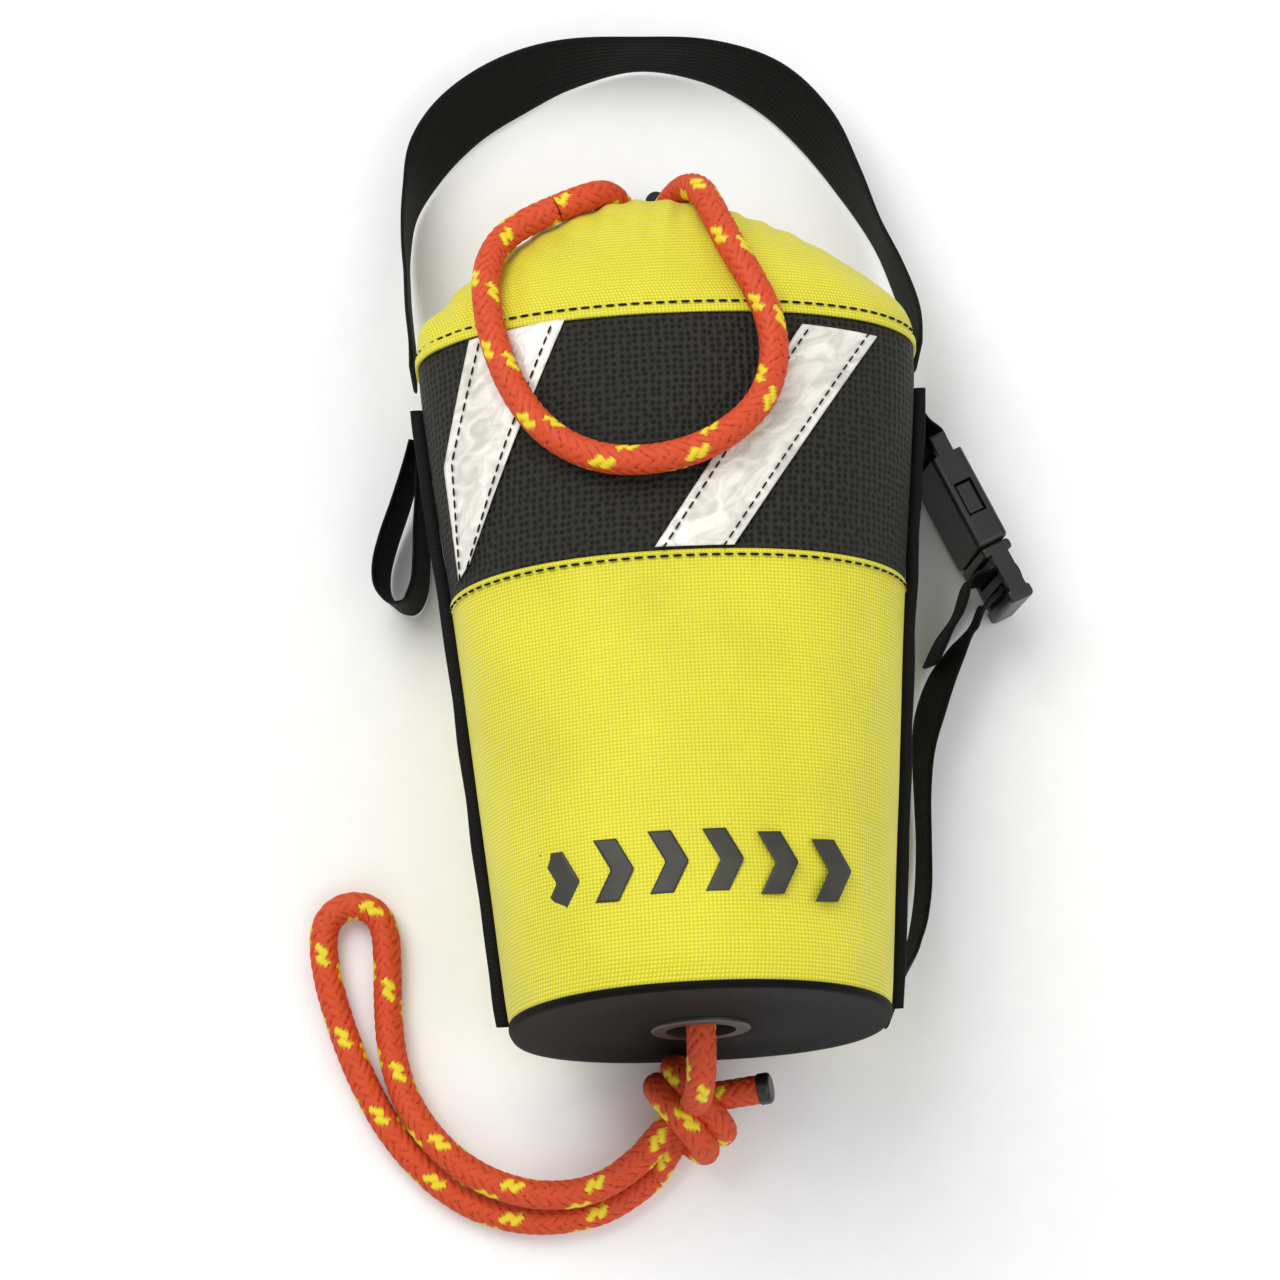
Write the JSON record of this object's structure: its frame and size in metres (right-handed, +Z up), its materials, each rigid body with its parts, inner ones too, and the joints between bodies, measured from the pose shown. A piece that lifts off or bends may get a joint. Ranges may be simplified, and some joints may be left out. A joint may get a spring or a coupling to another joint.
{
  "type": "throw rope bag",
  "caption": "Water rescue throw bag: tapered cloth bag with a mesh band, rope stuffed inside, a loop of rope at each end, carry strap and side-release buckle.",
  "frame": {"origin": "on the flat of the bag's back, on its centre line, about halfway along", "axes": "+Y from the base to the mouth, +Z up out of the front of the bag as it lies on its back"},
  "size_m": [0.2438, 0.4019, 0.1205],
  "materials": {
    "yellow_nylon": "satin",
    "black_mesh": "matte",
    "black_coated_cloth": "satin",
    "blackened_brass": "satin",
    "closed_cell_foam": "matte",
    "orange_rope": "satin",
    "black_webbing": "matte",
    "reflective_tape": "gloss",
    "black_plastic": "satin",
    "black_cord": "matte",
    "spring_steel": "satin"
  },
  "bodies": {
    "bag": {"lower_panel_front": "yellow_nylon", "lower_panel_back": "yellow_nylon", "mesh_panel_front": "black_mesh", "mesh_panel_back": "black_mesh", "collar_front": "yellow_nylon", "collar_back": "yellow_nylon", "base_panel": "black_coated_cloth", "grommet_eyelet": "blackened_brass", "grommet_washer": "blackened_brass", "foam_float": "closed_cell_foam", "stowed_rope": "orange_rope", "side_binding_left": "black_webbing", "side_binding_right": "black_webbing", "reflective_tape_left": "reflective_tape", "reflective_tape_right": "reflective_tape", "stopper_knot": "orange_rope", "rope_throat": "orange_rope", "rope_tail": "orange_rope", "rope_tail_tip": "black_plastic", "mouth_rope_left": "orange_rope", "mouth_rope_right": "orange_rope", "mouth_drawcord": "black_cord", "lock_barrel": "black_plastic", "lock_spring": "spring_steel", "buckle_female": "black_plastic", "buckle_tab": "black_webbing", "adjusting_strap": "black_webbing"},
    "carry_strap": {"carry_strap": "black_webbing"},
    "thrower_loop": {"thrower_loop": "orange_rope"},
    "hand_loop": {"hand_loop": "orange_rope"},
    "tab_loop": {"tab_loop": "black_webbing"},
    "buckle_male": {"buckle_male": "black_plastic"},
    "prong_upper": {"buckle_prong_upper": "black_plastic"},
    "prong_lower": {"buckle_prong_lower": "black_plastic"},
    "lock_plunger": {"lock_plunger": "black_plastic"}
  },
  "joints": [
    {"name": "carry_strap_swing", "type": "hinge", "parent": "bag", "child": "carry_strap", "pos_m": [0, 0.094, 0.03], "axis": [1, 0, 0], "range_deg": [0, 110]},
    {"name": "thrower_loop_lift", "type": "hinge", "parent": "bag", "child": "thrower_loop", "pos_m": [0.0163, 0.137, 0.067], "axis": [-0.9703, 0.0965, -0.2219], "range_deg": [0, 110], "deforming": ["mouth_rope_left", "mouth_rope_right"]},
    {"name": "hand_loop_swing", "type": "hinge", "parent": "bag", "child": "hand_loop", "pos_m": [-0.017, -0.168, 0.01], "axis": [0, 0, 1], "range_deg": [-4, 20]},
    {"name": "tab_loop_swing", "type": "hinge", "parent": "bag", "child": "tab_loop", "pos_m": [-0.0826, 0.075, 0.02], "axis": [0, 0, -1], "range_deg": [0, 45]},
    {"name": "buckle_release", "type": "slide", "parent": "bag", "child": "buckle_male", "axis": [0.408, -0.913, 0], "range_m": [0, 0.03], "deforming": ["adjusting_strap", "buckle_prong_upper", "buckle_prong_lower"]},
    {"name": "buckle_squeeze_upper", "type": "hinge", "parent": "buckle_male", "child": "prong_upper", "pos_m": [0.10459, 0.02814, 0.03108], "axis": [-0.908, -0.4058, 0.1045], "range_deg": [0, 6], "stiffness_Nm_per_rad": 1.4},
    {"name": "buckle_squeeze_lower", "type": "hinge", "parent": "buckle_male", "child": "prong_lower", "pos_m": [0.10205, 0.027, 0.00453], "axis": [0.908, 0.4058, -0.1045], "range_deg": [0, 6], "stiffness_Nm_per_rad": 1.4},
    {"name": "lock_plunger_press", "type": "slide", "parent": "bag", "child": "lock_plunger", "axis": [-1, 0, 0], "range_m": [0, 0.004], "stiffness_N_per_m": 900, "deforming": ["lock_spring"]}
  ],
  "couplings": [
    {"joint": "buckle_squeeze_lower", "follows": "buckle_squeeze_upper", "ratio": 1}
  ]
}
